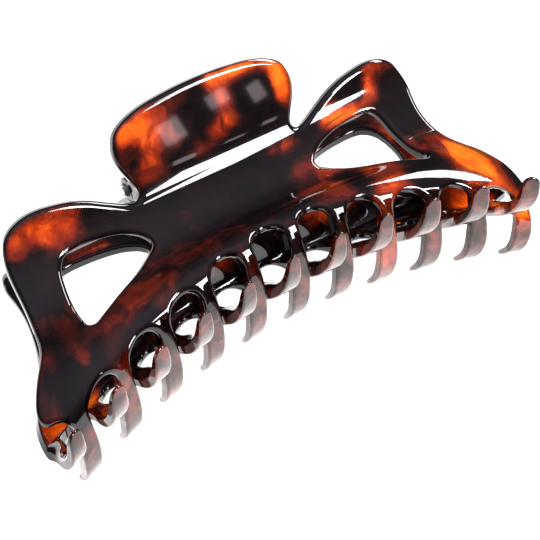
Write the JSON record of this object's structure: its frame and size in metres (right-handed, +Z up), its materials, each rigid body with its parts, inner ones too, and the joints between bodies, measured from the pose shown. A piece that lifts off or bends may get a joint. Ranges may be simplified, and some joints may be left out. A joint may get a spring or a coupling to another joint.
{
  "type": "hair claw clip",
  "caption": "Large sprung claw clip of glossy tortoiseshell plastic: two curved toothed jaws with pierced ears and broad finger tabs, hinged on a steel pin.",
  "frame": {"origin": "centre of the clip's footprint, on the table it lies on", "axes": "+X along the clip and its hinge, +Y from the teeth to the finger tabs, +Z up as it lies on its lower jaw"},
  "size_m": [0.1156, 0.0562, 0.0388],
  "materials": {
    "tortoiseshell": "polished",
    "steel": "drawn wire"
  },
  "bodies": {
    "lower": {"lower_jaw": "tortoiseshell", "hinge_pin": "steel", "spring_lower_half": "steel"},
    "upper": {"upper_jaw": "tortoiseshell", "spring_upper_half": "steel"}
  },
  "joints": [
    {"name": "jaw_hinge", "type": "hinge", "parent": "lower", "child": "upper", "pos_m": [0, 0.01971, 0.01903], "axis": [-1, 0, 0], "range_deg": [0, 50], "stiffness_Nm_per_rad": 0.12, "springref_deg": -51.57}
  ]
}
